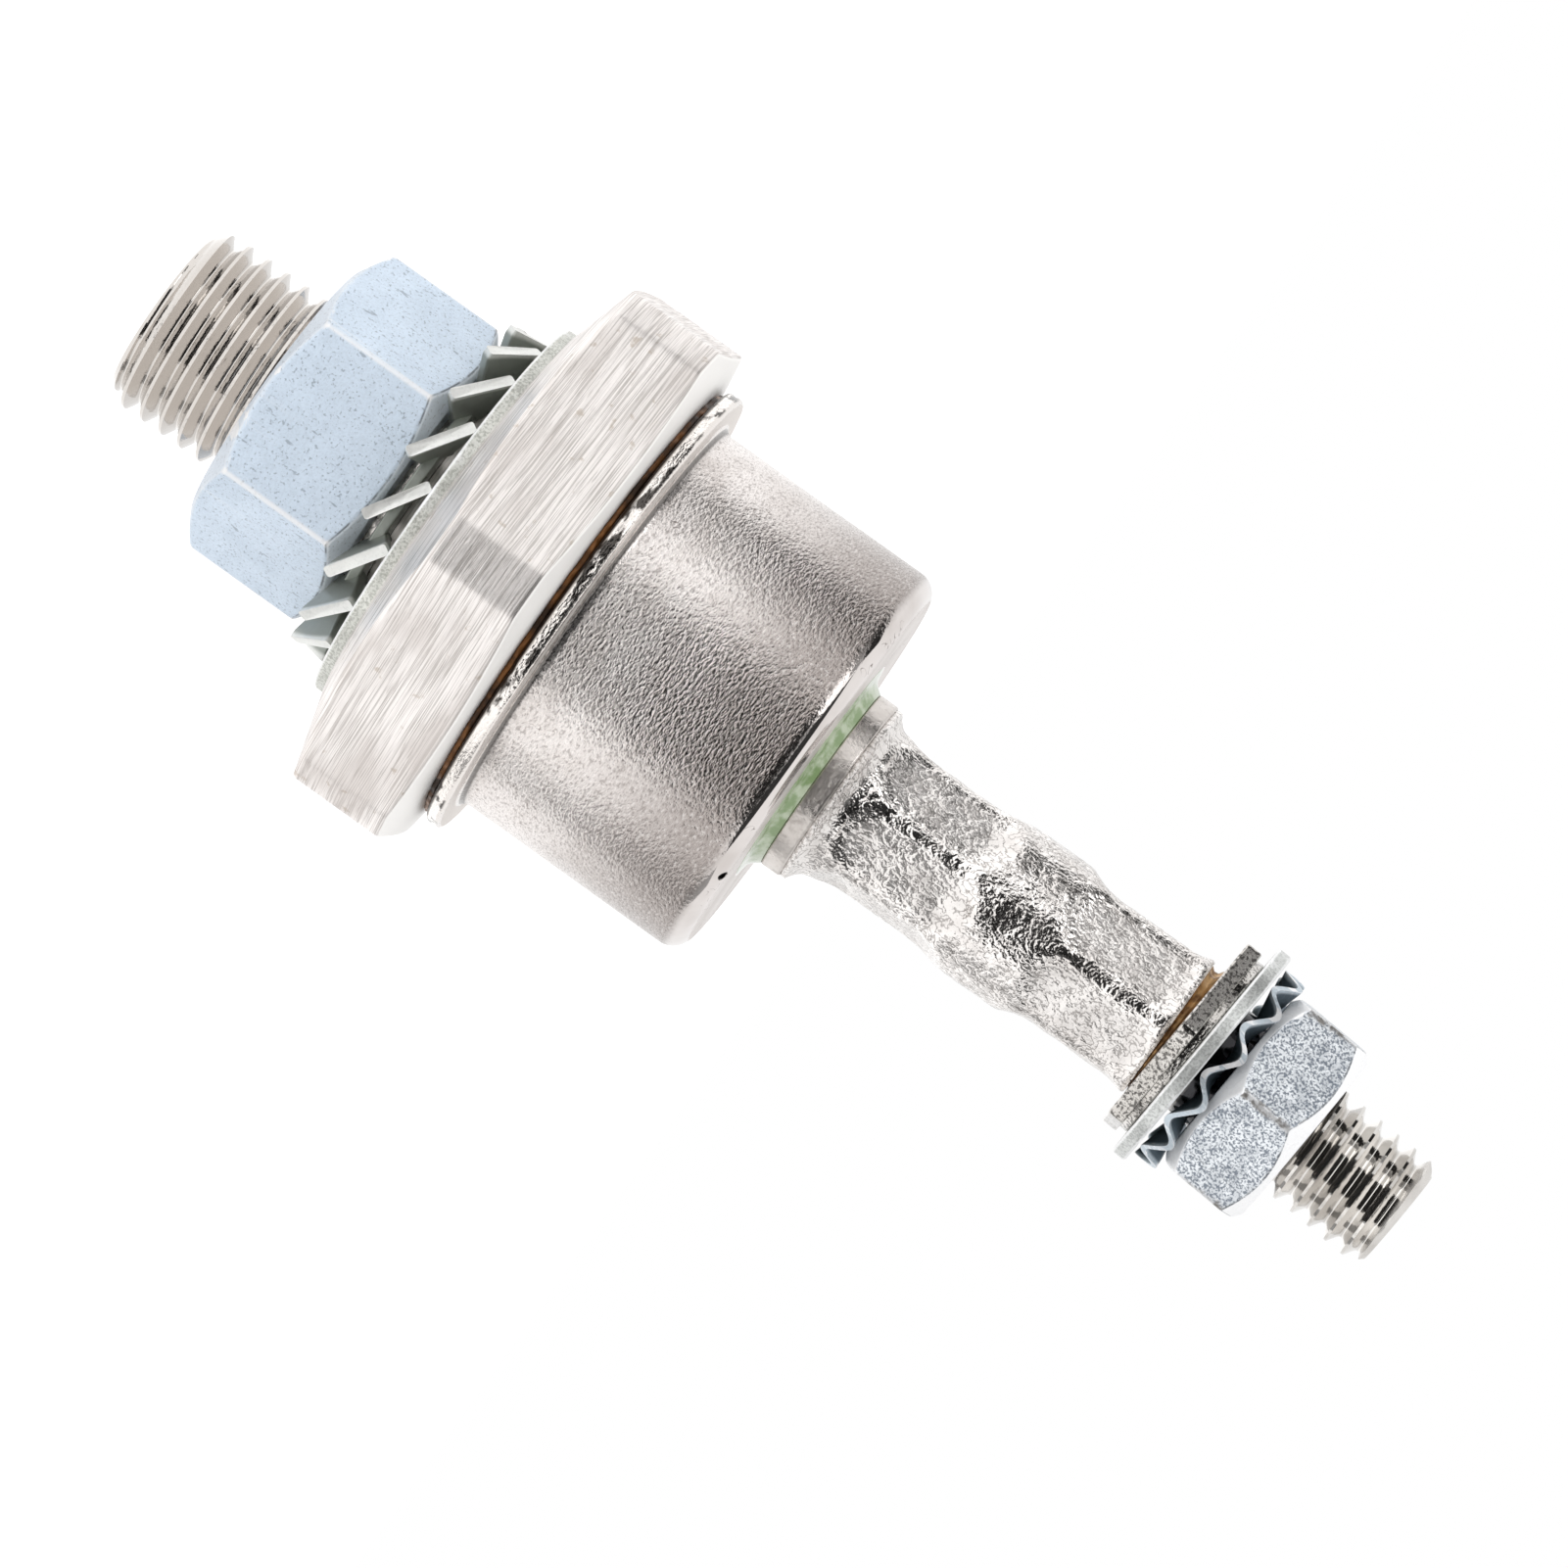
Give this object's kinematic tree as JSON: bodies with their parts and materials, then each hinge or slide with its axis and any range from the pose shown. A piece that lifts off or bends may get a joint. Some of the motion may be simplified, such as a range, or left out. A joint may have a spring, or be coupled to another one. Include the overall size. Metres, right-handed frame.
{
  "type": "stud diode",
  "caption": "Stud-mounting power diode with a hex base, welded can, green glass seal, crimped sleeve and threaded terminal, fitted with nuts and washers.",
  "frame": {"origin": "on the axis, in the plane of the flat seat under the hex base, where a heat sink goes", "axes": "+Z along the axis from the mounting stud to the terminal; -Y faces the picture's camera; the terminal leans towards +X"},
  "size_m": [0.0278, 0.0298, 0.0707],
  "materials": {
    "base_nickel": "satin nickel plate with turned lines",
    "washer_tin": "pale satin plate",
    "lock_tin": "pale satin plate",
    "zinc": "bluish zinc plate",
    "weld_tint": "dark heat-tinted weld",
    "can_nickel": "satin nickel plate, fine grain",
    "green_glass": "fused green sealing glass",
    "eyelet_metal": "satin metal",
    "sleeve_nickel": "grained nickel plate, crimped",
    "braze": "brown braze",
    "bright_nickel": "bright nickel plate",
    "terminal_washer_tin": "pale satin plate",
    "lock_zinc": "bluish zinc plate",
    "terminal_zinc": "bluish zinc plate, fine grain",
    "solder": "matte soft solder",
    "molybdenum": "lapped metal",
    "silicon": "polished silicon",
    "silicone": "matte white silicone",
    "copper": "bare copper",
    "copper_strand": "stranded bare copper"
  },
  "bodies": {
    "root": {"stud_base": "base_nickel", "stud_washer": "washer_tin", "stud_lock_washer": "lock_tin", "stud_nut": "zinc", "weld_ring": "weld_tint", "can": "can_nickel", "glass_seal": "green_glass", "eyelet": "eyelet_metal", "sleeve": "sleeve_nickel", "sleeve_braze": "braze", "terminal_stud": "bright_nickel", "terminal_washer": "terminal_washer_tin", "terminal_lock_washer": "lock_zinc", "terminal_nut": "terminal_zinc", "lower_solder": "solder", "lower_disc": "molybdenum", "silicon_die": "silicon", "junction_coating": "silicone", "upper_disc": "molybdenum", "upper_solder": "solder", "contact_cup": "copper", "inner_lead": "copper_strand"}
  },
  "joints": []
}
